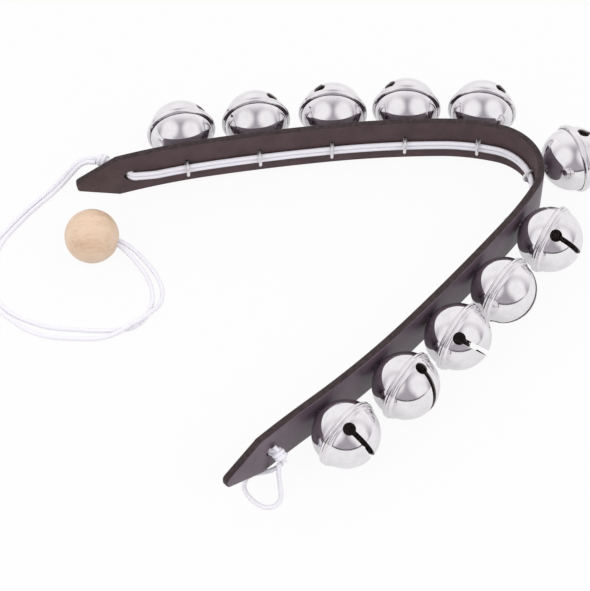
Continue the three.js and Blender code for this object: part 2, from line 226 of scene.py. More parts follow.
def toward(azimuth, elevation):
    """A direction seen from the strap: azimuth from the camera's side, both in degrees."""
    a, e = radians(azimuth), radians(elevation)
    return Vector((sin(a) * cos(e), -cos(a) * cos(e), sin(e)))


def soft_patch(azimuth, elevation, core, edge):
    """1 within core degrees of a direction, and a smooth fall to 0 at edge degrees."""
    facing = look.node("ShaderNodeVectorMath", {"operation": "DOT_PRODUCT"}, output=1,
                       i0=look, i1=toward(azimuth, elevation))
    return facing.between(cos(radians(edge)), cos(radians(core)))


def either(first, second):
    """Bright where one of two values is bright, and never over 1."""
    return 1 - (1 - first) * (1 - second)


high_patches = soft_patch(-60, 42, core=18, edge=42) + soft_patch(60, 42, core=18, edge=42)
low_patches = soft_patch(-56, 14, core=10, edge=30) + soft_patch(56, 14, core=10, edge=30)
behind = 1 - forward.between(-0.55, 0.25)
white_part = either(either(high_patches, low_patches), behind)
wall = white_part.tint((0.44, 0.405, 0.45), (1.0, 0.985, 1.0))
dark_line = height.between(0.005, 0.02) * (1 - height.between(0.05, 0.12))
dark_line = dark_line * forward.between(0.2, 0.7)
walls = wall.node("ShaderNodeMix", {"data_type": "RGBA"}, output=2,
                  Factor=dark_line * 0.9, i6=wall, i7=(0.05, 0.045, 0.05, 1))
room.node_tree.links.new(walls.socket, sky.inputs["Color"])
sky.inputs["Strength"].default_value = 1.0
print("room lit from", sky.name)


# %% Soft boxes
def soft_box(name, azimuth, elevation, distance, size, power):
    """A large soft lamp that looks at the strap. Only what it lights is seen of it."""
    data = bpy.data.lights.new(name, "AREA")
    data.shape = "RECTANGLE"
    data.size, data.size_y = size
    data.energy = power
    lamp = bpy.data.objects.new(name, data)
    bpy.context.collection.objects.link(lamp)
    side = toward(azimuth, elevation)
    lamp.location = side * distance
    lamp.rotation_euler = side.to_track_quat("Z", "Y").to_euler()
    lamp.visible_camera = False
    lamp.visible_glossy = False
    return lamp


for name, azimuth in (("soft_box_left", -58), ("soft_box_right", 58)):
    soft_box(name, azimuth, elevation=46, distance=1.25, size=(0.55, 0.85), power=3.0)

# %% [markdown]
# ## Elastic cord
# The cord is rubber in a braided white sleeve, about 2 mm thick. It is limp, so it lies on the
# table in loose curves. A tube could be a curve with a bevel, but the braid has to follow the
# cord. So a circle is carried along the line ring by ring, and each ring notes how far along it
# is. That gives the sleeve a clean lengthwise and crosswise direction for its braid.


# %% Helpers that make a piece
def add_piece(name, shape, body, replaces, finishes, smooth=40):
    """Puts a finished shape into the scene as a piece that rides on a body."""
    mesh = bpy.data.meshes.new(name)
    shape.to_mesh(mesh)
    shape.free()
    mesh.polygons.foreach_set("use_smooth", [True] * len(mesh.polygons))
    mesh.set_sharp_from_angle(angle=radians(smooth))
    made = bpy.data.objects.new(name, mesh)
    bpy.context.collection.objects.link(made)
    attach(made, body)
    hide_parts(replaces)
    for finish in finishes:
        mesh.materials.append(finish)
    return made


def smooth_line(points, step=0.0008):
    """A fine line that passes through each point without a corner."""
    spots = [Vector(p) for p in points]
    spots = [2 * spots[0] - spots[1], *spots, 2 * spots[-1] - spots[-2]]
    line = []
    for a, b, c, d in zip(spots, spots[1:], spots[2:], spots[3:]):
        count = max(1, ceil((c - b).length / step))
        for k in range(count):
            t = k / count
            bend = (2 * a - 5 * b + 4 * c - d) * t**2 + (3 * b - a - 3 * c + d) * t**3
            line.append((2 * b + (c - a) * t + bend) / 2)
    return [*line, spots[-2]]


def line_length(line):
    return sum((b - a).length for a, b in zip(line, line[1:]))


# %% A tube along a line
def sweep(shape, line, radius, sides=16):
    """Carries a capped circle along a line, and notes length and turn for its sleeve."""
    along = shape.verts.layers.float.get("along") or shape.verts.layers.float.new("along")
    around = shape.verts.layers.float.get("around") or shape.verts.layers.float.new("around")
    wrap = shape.loops.layers.uv.get("sleeve") or shape.loops.layers.uv.new("sleeve")
    headings = [(b - a).normalized() for a, b in zip(line, line[1:])]
    headings = [headings[0], *[(a + b).normalized() for a, b in zip(headings, headings[1:])],
                headings[-1]]
    pose = headings[0].to_track_quat("Z", "Y").to_matrix().to_4x4()
    ring = bmesh.ops.create_circle(shape, cap_ends=True, segments=sides, radius=radius)["verts"]
    for corner in ring:
        corner[around] = atan2(corner.co.y, corner.co.x) / (2 * pi) % 1.0
    bmesh.ops.transform(shape, matrix=Matrix.Translation(line[0]) @ pose, verts=ring)
    edges = list({e for v in ring for e in v.link_edges})
    faces, length = list({f for v in ring for f in v.link_faces}), 0.0
    for k in range(1, len(line)):
        made = bmesh.ops.extrude_edge_only(shape, edges=edges)["geom"]
        ring = [g for g in made if isinstance(g, bmesh.types.BMVert)]
        edges = [g for g in made if isinstance(g, bmesh.types.BMEdge)
                 and all(v in ring for v in g.verts)]
        turn = headings[k - 1].rotation_difference(headings[k]).to_matrix().to_4x4()
        step = Matrix.Translation(line[k]) @ turn @ Matrix.Translation(-line[k - 1])
        bmesh.ops.transform(shape, matrix=step, verts=ring)
        length += (line[k] - line[k - 1]).length
        for corner in ring:
            corner[along] = length
        faces += [g for g in made if isinstance(g, bmesh.types.BMFace)]
    faces += bmesh.ops.contextual_create(shape, geom=edges)["faces"]
    for face in faces:
        turns = [loop.vert[around] for loop in face.loops]
        over = max(turns) - min(turns) > 0.5
        for loop, part in zip(face.loops, turns):
            loop[wrap].uv = (part + 1 if over and part < 0.5 else part, loop.vert[along] / MM)
    return faces


# %% Braided sleeve
elastic, elastic_shader, place = new_finish("white_elastic", Roughness=0.85)
sleeve = place.node("ShaderNodeUVMap", {"uv_map": "sleeve"})
turn = sleeve.node("ShaderNodeSeparateXYZ", Vector=sleeve, output=0) * (2 * pi)
BRAID_STRANDS, BRAID_PITCH = 6, 3.2
run = sleeve.node("ShaderNodeSeparateXYZ", Vector=sleeve, output=1) * (2 * pi / BRAID_PITCH)
left_lay = (turn * (BRAID_STRANDS / 2) + run).wave()
right_lay = (turn * (BRAID_STRANDS / 2) - run).wave()
over = (left_lay * right_lay).between(-0.25, 0.25)
strand = over * left_lay.wave("ABSOLUTE") + (1 - over) * right_lay.wave("ABSOLUTE")
thread = speckle(place, 0.0003, 1.0)
braid = strand * 0.8 + thread * 0.2
# The braid's grooves are painted a little greyer than the strands' tops, as painted shade in the
# grooves. The fine thread noise is random tone.
lay_on(elastic_shader, "Base Color", braid.tint((0.85, 0.845, 0.90), (0.915, 0.905, 0.95)))
lay_on(elastic_shader, "Normal", relief(braid, 0.000018))
print("sleeve strands:", 2 * BRAID_STRANDS)

# %% Free cord
CORD = 0.0021
inner_tail = [
    (-114.3, 64.2, 15.8), (-118.7, 65.6, 14.2), (-122.6, 65.3, 11.7), (-126.7, 62.5, 8.4),
    (-131.3, 58.9, 4.9), (-136.3, 55.1, 2.3), (-141.2, 50.6, 1.2), (-145.5, 45.5, 1.1),
    (-149.4, 40.1, 1.1), (-153.1, 34.8, 1.1), (-156.3, 29.1, 1.1), (-158.7, 22.8, 1.1),
    (-160.4, 16.2, 1.1), (-160.9, 9.3, 1.1), (-159.8, 2.6, 1.1), (-157.1, -3.5, 1.1),
    (-152.7, -9.1, 1.1), (-147.1, -13.5, 1.1), (-140.5, -16.8, 1.1), (-133.5, -19.3, 1.1),
    (-126.5, -20.5, 1.1), (-119.5, -21.0, 1.1), (-112.5, -21.5, 1.1), (-105.7, -21.6, 1.1),
    (-99.3, -21.0, 1.1), (-93.7, -19.5, 1.1), (-89.6, -15.5, 1.1), (-87.2, -10.1, 1.1),
    (-86.1, -3.5, 1.1), (-87.1, 3.3, 1.1), (-89.7, 9.5, 1.5), (-93.7, 14.7, 3.4),
    (-98.0, 18.3, 6.6), (-102.5, 20.5, 9.7), (-108.9, 21.3, 11.3),
]
outer_tail = [
    (-113.6, 66.5, 15.9), (-118.4, 68.1, 14.2), (-123.5, 67.6, 11.7), (-128.2, 64.5, 8.4),
    (-132.8, 60.8, 4.9), (-137.9, 57.0, 2.3), (-143.0, 52.3, 1.2), (-147.4, 47.0, 1.1),
    (-151.5, 41.6, 1.1), (-155.2, 36.2, 1.1), (-159.4, 29.5, 1.1), (-162.5, 23.3, 1.1),
    (-164.7, 16.3, 1.1), (-165.4, 8.9, 1.1), (-164.1, 1.7, 1.1), (-160.4, -5.1, 1.1),
    (-154.8, -10.7, 1.1), (-149.1, -15.7, 1.1), (-142.9, -20.5, 1.1), (-136.1, -23.7, 1.1),
    (-128.7, -25.3, 1.1), (-121.3, -25.9, 1.1), (-113.9, -26.1, 1.2), (-106.7, -25.8, 2.0),
    (-100.5, -23.9, 3.2), (-95.3, -20.1, 3.6), (-90.5, -16.9, 3.7), (-86.1, -12.7, 3.5),
    (-82.8, -7.7, 2.1), (-81.7, -1.5, 1.1), (-82.9, 5.1, 1.1), (-86.1, 11.5, 1.4),
    (-90.7, 16.9, 3.2), (-95.9, 20.7, 6.5), (-101.7, 22.8, 9.6), (-108.6, 23.7, 11.4),
]
closing_loop = [
    (-28.2, -99.2, 13.0), (-28.4, -101.0, 9.6), (-28.2, -102.4, 6.0), (-27.8, -104.3, 2.9),
    (-27.4, -107.1, 1.3), (-27.9, -110.4, 1.1), (-30.4, -113.1, 1.1), (-34.0, -113.6, 1.1),
    (-37.7, -111.8, 1.1), (-41.0, -108.5, 1.1), (-43.1, -104.4, 1.1), (-42.7, -100.1, 1.1),
    (-39.9, -97.2, 1.1), (-35.9, -96.2, 1.1), (-32.2, -95.9, 2.0), (-28.8, -95.4, 4.3),
    (-26.8, -95.1, 7.9), (-26.9, -95.6, 12.0),
]


def free_cord(name, route, replaces):
    """A stretch of cord that lies free, on the route that its solid takes."""
    line = smooth_line([Vector(p) * MM for p in route])
    shape = bmesh.new()
    sweep(shape, line, CORD / 2)
    made = add_piece(name, shape, "strap", replaces, [elastic], smooth=60)
    print(name, round(line_length(line), 4), "m")
    return made, line


# %% [markdown]
# ## Toggle ball
# The ball is a turned wooden bead with one blind bore, and both cord ends are glued in the
# bore. Turning is what Spin does: half of the bead's outline goes once round the bore's axis.
# The grain is a stretched noise, because year rings show as long fine streaks on a bead.

# %% Maple
maple, maple_shader, place = new_finish("pale_maple", Roughness=0.45, Coat_Roughness=0.25)
maple_shader.inputs["Coat Weight"].default_value = 0.35
fibres = place.node("ShaderNodeMapping", Vector=place, Rotation=(0.2, 0.1, 0.35),
                    Scale=(0.12, 1, 0.8))
streaks = speckle(fibres, 0.0011, 4.0, 0.6)
rings = speckle(fibres, 0.0065, 2.0)
pores = speckle(fibres, 0.00028, 2.0).between(0.62, 0.75)
tone = streaks * 0.45 + rings * 0.55
wood = tone.node(
    "ShaderNodeValToRGB",
    {"stops": [(0.30, (0.61, 0.42, 0.27)), (0.50, (0.76, 0.56, 0.39)), (0.70, (0.82, 0.65, 0.49))]},
    Fac=tone,
)
wood = wood.node("ShaderNodeMix", {"data_type": "RGBA"}, output=2,
                 Factor=pores * 0.5, i6=wood, i7=(0.45, 0.28, 0.18, 1))
lay_on(maple_shader, "Base Color", wood)
lay_on(maple_shader, "Roughness", streaks * 0.25 + 0.3)
lay_on(maple_shader, "Normal", relief(streaks - pores, 0.00004))

# %% Ball
BALL, BORE, BORE_DEPTH, MOUTH, BALL_STEPS = 0.0125, 0.0027, 0.0073, 0.0005, 32
ball_centre = Vector((-114.2, 23.3, 12.5)) * MM
ends = (Vector(inner_tail[-1]) + Vector(outer_tail[-1])) * MM / 2
bore_way = (ends - ball_centre).normalized()
mouth_height = sqrt(BALL**2 - (BORE + MOUTH) ** 2)
bead = [(0, mouth_height - BORE_DEPTH), (BORE, mouth_height - BORE_DEPTH)]
bead += [(BORE, mouth_height - MOUTH), (BORE + 0.3 * MOUTH, mouth_height - 0.3 * MOUTH)]
mouth_angle = asin((BORE + MOUTH) / BALL)
for k in range(BALL_STEPS + 1):
    angle = mouth_angle + (pi - mouth_angle) * k / BALL_STEPS
    bead.append((BALL * sin(angle), BALL * cos(angle)))


def turned(outline, steps, turn_matrix):
    """An outline of (radius, height) pairs, turned once about the height axis."""
    shape = bmesh.new()
    corners = [shape.verts.new((r, 0, h)) for r, h in outline]
    edges = [shape.edges.new(pair) for pair in zip(corners, corners[1:])]
    bmesh.ops.spin(shape, geom=corners + edges, cent=(0, 0, 0), axis=(0, 0, 1),
                   angle=2 * pi, steps=steps, use_merge=True)
    bmesh.ops.remove_doubles(shape, verts=shape.verts, dist=1e-6)
    bmesh.ops.recalc_face_normals(shape, faces=shape.faces)
    bmesh.ops.transform(shape, matrix=turn_matrix, verts=shape.verts)
    return shape


aim = bore_way.to_track_quat("Z", "Y").to_matrix().to_4x4()
turned_ball = turned(bead, steps=64, turn_matrix=Matrix.Translation(ball_centre) @ aim)
ball = add_piece("ball", turned_ball, "strap", "toggle_ball", [maple], smooth=50)
print("ball", [round(v, 4) for v in ball.dimensions])

# %% Lay the free cord
tail_a, line_a = free_cord("cord_tail_inner", inner_tail, "tail_strand_inner")
tail_b, line_b = free_cord("cord_tail_outer", outer_tail, "tail_strand_outer")
fold, fold_line = free_cord("cord_fold", closing_loop, "closing_loop")
line_length(line_a)
line_length(line_b)
line_length(fold_line)

# %% [markdown]
# ## The strap's line
# The band was cut straight and then bent by hand, so its middle line is a chain of gentle arcs
# with one sharp bend. Every piece on it is placed by its distance from the far tip.

# %% Along the strap
STRAP_LENGTH, STRAP_WIDTH, STRAP_THICK = 0.450, 0.024, 0.0034
STRAP_HEIGHT, BELL_HEIGHT, TONGUE = 0.0152, 0.0162, 0.022
BENDS = [(0.0985, -7.1), (0.1478, -3.9), (0.1232, -6.3), (0.069, -16.5), (0.1083, -104.3),
         (0.064, -8.3), (0.1724, -3.0), (0.1478, -7.9), (0.069, 2.8)]
FAR_TIP, FAR_HEADING = Vector((-0.1224645, 0.0508592)), radians(17.9)
bent = STRAP_LENGTH - 2 * TONGUE
ARCS = [(TONGUE, 0), *[(share * bent, turn) for share, turn in BENDS], (TONGUE, 0)]


def strap_place(distance):
    """The middle line's point and heading at a distance from the far tip."""
    spot, heading, left = FAR_TIP.copy(), FAR_HEADING, distance
    for length, turn in ARCS:
        go = min(left, length)
        bend = radians(turn) * go / length
        chord = go if bend == 0 else 2 * go / bend * sin(bend / 2)
        spot += chord * Vector((cos(heading + bend / 2), sin(heading + bend / 2)))
        heading += bend
        left -= go
    return spot, heading


def on_strap(distance, outward, height):
    """A point beside the middle line: outward is the bells' side."""
    spot, heading = strap_place(distance)
    return Vector((spot.x - outward * sin(heading), spot.y + outward * cos(heading), height))


print("near tip", [round(v, 4) for v in strap_place(STRAP_LENGTH)[0]])

# %% [markdown]
# ## Dyed leather
# Three surfaces of one hide look different. The grain side has a fine pebble and a soft polish,
# the flesh side is brushed flat and dull, and the cut edge shows the fibres end on. Each gets
# its own finish. All of them read the place that a point had on the flat strip, so the pattern
# bends with the leather instead of sliding through it.


# %% Leather finishes
def leather_place(place):
    """Where a point was on the flat strip: along, across and through, in metres."""
    return place.node("ShaderNodeAttribute", {"attribute_name": "cut_place"}, output=1)


grain_side, grain_shader, place = new_finish("leather_grain_side", Coat_Roughness=0.3)
grain_shader.inputs["Coat Weight"].default_value = 0.22
flat = leather_place(place)
pebble = flat.node("ShaderNodeTexVoronoi", {"feature": "SMOOTH_F1"}, Vector=flat,
                   Scale=1 / 0.0007, Smoothness=0.6)
creases = speckle(flat, 0.0022, 3.0, 0.6)
clouds = speckle(flat, 0.016, 3.0)
shade = creases * 0.35 + clouds * 0.65
# The grain side's colour is the leather's dark brown with a lavender-grey cast that is painted
# sheen, on top of the real gloss of its coat. The clouds and creases are random tone.
lay_on(grain_shader, "Base Color", shade.between(0.25, 0.75).tint((0.072, 0.047, 0.063),
                                                                (0.140, 0.096, 0.126)))
lay_on(grain_shader, "Roughness", creases * 0.2 + 0.34)
lay_on(grain_shader, "Normal", relief(pebble * 0.6 + creases * 0.8, 0.00007))

flesh_side, flesh_shader, place = new_finish("leather_flesh_side")
flat = leather_place(place)
brushed = flat.node("ShaderNodeMapping", Vector=flat, Scale=(0.35, 1, 1))
nap = speckle(brushed, 0.0009, 3.0, 0.7)
clouds = speckle(flat, 0.012, 3.0)
shade = nap * 0.4 + clouds * 0.6
lay_on(flesh_shader, "Base Color", shade.between(0.25, 0.75).tint((0.055, 0.031, 0.034),
                                                                (0.096, 0.058, 0.063)))
lay_on(flesh_shader, "Roughness", nap * 0.2 + 0.62)
lay_on(flesh_shader, "Normal", relief(nap, 0.00006))

cut_edge, edge_shader, place = new_finish("leather_cut_edge")
flat = leather_place(place)
fibre_ends = speckle(flat, 0.00045, 3.0, 0.75)
tufts = speckle(flat, 0.0019, 3.0, 0.7)
layers = flat.node("ShaderNodeSeparateXYZ", Vector=flat, output=2)
# The fibre ends and tufts are random tone. The lighter band near both borders of the cut edge is a
# painted highlight on its rounded rims.
painted_rim_highlight = (layers.wave("ABSOLUTE") / (STRAP_THICK / 2)).between(0.55, 1.0)
shade = fibre_ends.between(0.3, 0.7) * 0.35 + tufts.between(0.35, 0.65) * 0.45
shade = shade + painted_rim_highlight * 0.2
lay_on(edge_shader, "Base Color", shade.tint((0.014, 0.008, 0.009), (0.068, 0.042, 0.043)))
lay_on(edge_shader, "Roughness", fibre_ends * 0.2 + 0.65)
lay_on(edge_shader, "Normal", relief(fibre_ends * 0.6 + tufts * 0.4, 0.0003))
print("leather finishes:", [m.name for m in (grain_side, flesh_side, cut_edge)])

# %% [markdown]
# ## The band, made flat first
# A saddler cuts the strip flat, trims both ends to a point, rounds the edges, punches the slits
# and only then bends it. The mesh is made in that order too. A flat strip is easy to trim with
# planes and to punch with a boolean, and bending is one step that moves every point.

# %% Cut and trim the strip
TAPER, TIP, TIP_ROUND, EDGE_ROUND, BEND_CUTS = 0.0195, 0.0050, 0.0013, 0.0005, 339
NEARLY = 1e-6
strip = bmesh.new()
bmesh.ops.create_grid(strip, x_segments=1, y_segments=1, size=0.5)
bmesh.ops.scale(strip, vec=(STRAP_LENGTH, STRAP_WIDTH, 1), verts=strip.verts)
bmesh.ops.translate(strip, vec=(STRAP_LENGTH / 2, 0, 0), verts=strip.verts)
rise = (STRAP_WIDTH - TIP) / 2
for end, side in ((0, 1), (0, -1), (STRAP_LENGTH, 1), (STRAP_LENGTH, -1)):
    corner = (rise if end else -rise, side * TAPER, 0)
    bmesh.ops.bisect_plane(strip, geom=strip.verts[:] + strip.edges[:] + strip.faces[:],
                           plane_co=(end, side * TIP / 2, 0), plane_no=corner,
                           clear_outer=True)
tips = [v for v in strip.verts if v.co.x < NEARLY or v.co.x > STRAP_LENGTH - NEARLY]
bmesh.ops.bevel(strip, geom=tips, offset=TIP_ROUND, segments=5, profile=0.5,
                affect="VERTICES", material=-1)
for cut in (TONGUE, STRAP_LENGTH - TONGUE):
    bmesh.ops.bisect_plane(strip, geom=strip.verts[:] + strip.edges[:] + strip.faces[:],
                           plane_co=(cut, 0, 0), plane_no=(1, 0, 0))
bmesh.ops.solidify(strip, geom=strip.faces[:], thickness=STRAP_THICK)
middle = sum((v.co.z for v in strip.verts), 0.0) / len(strip.verts)
bmesh.ops.translate(strip, vec=(0, 0, -middle), verts=strip.verts)
bmesh.ops.recalc_face_normals(strip, faces=strip.faces)
print("strip", len(strip.faces), "faces, volume", round(strip.calc_volume() * 1e6, 2), "cm3")

# %% Round its edges and divide it for the bend
rims = [e for e in strip.edges if len(e.link_faces) == 2 and e.calc_face_angle() > 1.2
        and abs(e.verts[0].co.z - e.verts[1].co.z) < NEARLY]
bmesh.ops.bevel(strip, geom=rims, offset=EDGE_ROUND, segments=3, profile=0.5,
                affect="EDGES", material=-1)
long_edges = [e for e in strip.edges if e.calc_length() > STRAP_LENGTH / 2]
bmesh.ops.subdivide_edges(strip, edges=long_edges, cuts=BEND_CUTS, use_grid_fill=True)
print("strip", len(strip.faces), "faces")


# %% Punch the slits and the end holes
def as_object(name, shape):
    """A helper object that a boolean can read."""
    mesh = bpy.data.meshes.new(name)
    shape.to_mesh(mesh)
    shape.free()
    made = bpy.data.objects.new(name, mesh)
    bpy.context.collection.objects.link(made)
    return made


def punched(blank, punch):
    """The blank with the punch taken away, as a new shape. Both helpers are removed."""
    cut = blank.modifiers.new("cut", "BOOLEAN")
    cut.operation, cut.solver, cut.object = "DIFFERENCE", "EXACT", punch
    shape = bmesh.new()
    shape.from_object(blank, bpy.context.evaluated_depsgraph_get())
    for helper in (blank, punch):
        mesh = helper.data
        bpy.data.objects.remove(helper)
        bpy.data.meshes.remove(mesh)
    return shape


BELL_COUNT, BELL_STEP, SLIT_HEIGHT, SLIT_WIDTH = 11, 0.0345, 0.0092, 0.0021
PUNCH_DEPTH = 3 * STRAP_THICK
HOLE, HOLE_FROM_TIP = 0.0028, 0.025
EYE_DROP, HOLE_DROP = 0.0028, 0.001
lift = BELL_HEIGHT - STRAP_HEIGHT
punch = bmesh.new()
for number in range(BELL_COUNT):
    along = STRAP_LENGTH / 2 + (number - (BELL_COUNT - 1) / 2) * BELL_STEP
    slit = bmesh.ops.create_cube(punch, size=1)["verts"]
    bmesh.ops.scale(punch, vec=(SLIT_WIDTH, SLIT_HEIGHT, PUNCH_DEPTH), verts=slit)
    upright_edges = list({e for v in slit for e in v.link_edges
                          if abs(e.verts[0].co.z - e.verts[1].co.z) > STRAP_THICK})
    bmesh.ops.translate(punch, vec=(along, lift - EYE_DROP, 0), verts=slit)
    bmesh.ops.bevel(punch, geom=upright_edges, offset=SLIT_WIDTH * 0.4, segments=3, profile=0.5,
                    affect="EDGES", material=-1)
for along in (HOLE_FROM_TIP, STRAP_LENGTH - HOLE_FROM_TIP):
    place_hole = Matrix.Translation((along, lift - HOLE_DROP, 0))
    bmesh.ops.create_cone(punch, cap_ends=True, segments=32, radius1=HOLE, radius2=HOLE,
                          depth=PUNCH_DEPTH, matrix=place_hole)
strip = punched(as_object("strip", strip), as_object("punch", punch))
print("punched strip", len(strip.faces), "faces, volume",
      round(strip.calc_volume() * 1e6, 2), "cm3")

# %% Mark the three surfaces and bend the band
cut_place = strip.verts.layers.float_vector.new("cut_place")
strip.normal_update()
for face in strip.faces:
    face.material_index = 0 if face.normal.z > 0.5 else 1 if face.normal.z < -0.5 else 2
for corner in strip.verts:
    corner[cut_place] = corner.co
    corner.co = on_strap(corner.co.x, corner.co.z, STRAP_HEIGHT + corner.co.y)
bmesh.ops.recalc_face_normals(strip, faces=strip.faces)
band = add_piece("leather_band", strip, "strap", "leather_strap",
                 [grain_side, flesh_side, cut_edge], smooth=50)
print("band", [round(v, 4) for v in band.dimensions])

# %% [markdown]
# ## Bright nickel
# The shells are pressed from thin steel sheet and plated with nickel. Plating is a mirror with
# a pale grey colour. What makes it look real are small faults: hazy finger marks that change
# the gloss, and hairline scratches from being shaken. The drawn wire is rougher, so it takes
# its light from all round and reads as a pale bar.

# %% Nickel finishes
nickel, nickel_shader, place = new_finish("bright_nickel", Metallic=1.0)
haze = speckle(place, 0.006, 4.0, 0.6).between(0.35, 0.75)
stretched = place.node("ShaderNodeMapping", Vector=place, Rotation=(0.5, 0.3, 0.9),
                       Scale=(0.06, 1, 1))
hairlines = speckle(stretched, 0.00022, 1.0).between(0.60, 0.72)
lay_on(nickel_shader, "Base Color", haze.tint((0.87, 0.855, 0.87), (0.78, 0.765, 0.78)))
lay_on(nickel_shader, "Roughness", haze * 0.06 + hairlines * 0.05 + 0.035)
lay_on(nickel_shader, "Normal", relief(1 - hairlines, 0.0000015))

# The inner walls get a dull finish whose darkness is painted shade, with random stains in it.
inside_painted_shade, inside_shader, place = new_finish("shell_inside_painted_shade", Metallic=0.6)
stains = speckle(place, 0.003, 4.0, 0.6).between(0.3, 0.7)
lay_on(inside_shader, "Base Color", stains.tint((0.30, 0.26, 0.25), (0.46, 0.40, 0.39)))
lay_on(inside_shader, "Roughness", stains * 0.2 + 0.6)
lay_on(inside_shader, "Normal", relief(stains, 0.00005))

wire_finish, wire_shader, place = new_finish("nickel_wire", Metallic=1.0)
drawn = speckle(place, 0.0007, 3.0)
lay_on(wire_shader, "Base Color", drawn.tint((0.84, 0.825, 0.84), (0.97, 0.96, 0.97)))
lay_on(wire_shader, "Roughness", drawn * 0.2 + 0.32)
lay_on(wire_shader, "Normal", relief(drawn, 0.00002))
print("metal finishes:", nickel.name, inside_painted_shade.name, wire_finish.name)

# %% [markdown]
# ## Bell shells
# A bell is two half shells. The outer half carries the keyhole slot: a narrow slit over the top
# that ends in two round holes, which lets the sound out. Its edge is pressed out to a collar
# and folded over the inner half's flange, so two ridges go round the middle. A press draws both
# halves round, so Spin makes them. One of each is made and copied to all eleven places. The
# inner walls get a dull finish that is painted dark, as painted shade inside the hollow.

# %% Outline of the outer half
SHELL, INSIDE, RIM = 14.9, 14.1, 16.2
COLLAR_FOOT, INNER_LIP, TURN_STEPS = 2.9, 0.55, 96


def arc(radius, first, last, steps):
    """Points (radius, height) on a circle round the bell's middle, in millimetres."""
    return [(radius * sin(first + (last - first) * k / steps),
             radius * cos(first + (last - first) * k / steps)) for k in range(steps + 1)]


fold_over = [
    (14.80, 2.62), (15.02, 2.52), (15.30, 2.34), (15.50, 2.08), (15.56, 1.80), (15.52, 1.52),
    (15.40, 1.30), (15.36, 1.16), (15.44, 1.07), (15.66, 1.03), (15.92, 0.98), (16.10, 0.88),
    (RIM, 0.66), (16.13, 0.42), (15.98, 0.22), (15.92, 0.0), (15.98, -0.22), (16.13, -0.42),
    (16.18, -0.60), (16.12, -0.76), (15.96, -0.92), (15.70, -1.10), (15.42, -1.29),
    (15.22, -1.40), (15.10, -1.38), (15.06, -1.24), (15.10, -0.90), (15.15, -INNER_LIP),
    (15.70, -INNER_LIP), (15.70, INNER_LIP),
]
outside = arc(SHELL, 0, acos(COLLAR_FOOT / SHELL), steps=40)
inner_wall = arc(INSIDE, acos(INNER_LIP / INSIDE), 0, steps=24)
outer_outline = [(r * MM, h * MM) for r, h in [*outside, *fold_over, *inner_wall]]
upright = Matrix.Identity(4)
outer_half = turned(outer_outline, TURN_STEPS, upright)
print("outer half", len(outer_half.faces), "faces, volume",
      round(outer_half.calc_volume() * 1e6, 3), "cm3")

# %% Keyhole slot
SLOT, SOUND_HOLE, HOLE_ANGLE, OVERRUN = 2.4 * MM, 5.7 * MM, radians(70), 1 * MM
reach, foot = SHELL * MM * sin(HOLE_ANGLE), SHELL * MM * cos(HOLE_ANGLE)
keyhole = bmesh.new()
bar = bmesh.ops.create_cube(keyhole, size=1)["verts"]
tall = SHELL * MM + OVERRUN - foot
bmesh.ops.scale(keyhole, vec=(2 * reach, SLOT, tall), verts=bar)
bmesh.ops.translate(keyhole, vec=(0, 0, foot + tall / 2), verts=bar)
outer_half = punched(as_object("blank", outer_half), as_object("keyhole", keyhole))
for side in (-1, 1):
    drill = bmesh.new()
    deep = SHELL / 2 * MM + OVERRUN
    tilt = Matrix.Rotation(side * HOLE_ANGLE, 4, "Y")
    lead = tilt @ Matrix.Translation((0, 0, (SHELL * MM + deep) / 2))
    bmesh.ops.create_cone(drill, cap_ends=True, segments=48, radius1=SOUND_HOLE / 2,
                          radius2=SOUND_HOLE / 2, depth=deep, matrix=lead)
    outer_half = punched(as_object("blank", outer_half), as_object("drill", drill))
print("slotted half", len(outer_half.faces), "faces")

# %% Inner half
POLE_HOLE, FLANGE, FLANGE_HALF = 2.1, 15.45, 0.3
outside = arc(SHELL, pi - asin(POLE_HOLE / SHELL), pi - acos(FLANGE_HALF / SHELL), steps=36)
inner_wall = arc(INSIDE, acos(-FLANGE_HALF / INSIDE), pi - asin(POLE_HOLE / INSIDE), steps=24)
flange = [(FLANGE, -FLANGE_HALF), (FLANGE, FLANGE_HALF), (INSIDE, FLANGE_HALF)]
inner_outline = [*outside, *flange, *inner_wall, outside[0]]
inner_half = turned([(r * MM, h * MM) for r, h in inner_outline], TURN_STEPS, upright)
print("inner half", len(inner_half.faces), "faces")

# %% Copy the shells to their places
SLOT_ROLLS = [139, 126, 62, 53, 124, 80, 115, 33, 124, 75, 106]
LAY_DOWN = Matrix(((0, 0, 1, 0), (1, 0, 0, 0), (0, 1, 0, 0), (0, 0, 0, 1)))
places = {}
for joint in frame["joints"]:
    if joint["name"].endswith("_spin"):
        out, centre = Vector(joint["axis"]), Vector(joint["pos_m"])
        across = Vector((0, 0, 1)).cross(out)
        turned_frame = Matrix((out, across, (0, 0, 1))).transposed().to_4x4()
        places[joint["child"]] = Matrix.Translation(centre) @ turned_frame


def paint_inside_shade(shape):
    """Gives the second finish, dark painted shade, to the hollow's wall and to the slot's cut
    edges.
    """
    skin = 0.15
    for face in shape.faces:
        from_middle = face.calc_center_median().length
        face.material_index = 1 if from_middle < (SHELL - skin) * MM else 0


for half_shell in (outer_half, inner_half):
    paint_inside_shade(half_shell)


def put(name, shape, matrix, body, replaces, finishes):
    """A copy of a shape, moved to its place as a piece of its own."""
    copy = shape.copy()
    bmesh.ops.transform(copy, matrix=matrix, verts=copy.verts)
    return add_piece(name, copy, body, replaces, finishes)


for roll, (bell, place_of) in zip(SLOT_ROLLS, places.items()):
    turn_slot = Matrix.Rotation(radians(roll), 4, "X")
    put(f"{bell}_front", outer_half, place_of @ turn_slot @ LAY_DOWN, bell,
        f"{bell}_outer_shell", [nickel, inside_painted_shade])
    put(f"{bell}_back", inner_half, place_of @ LAY_DOWN, bell,
        f"{bell}_inner_shell", [nickel, inside_painted_shade])
print("bells:", len(places))

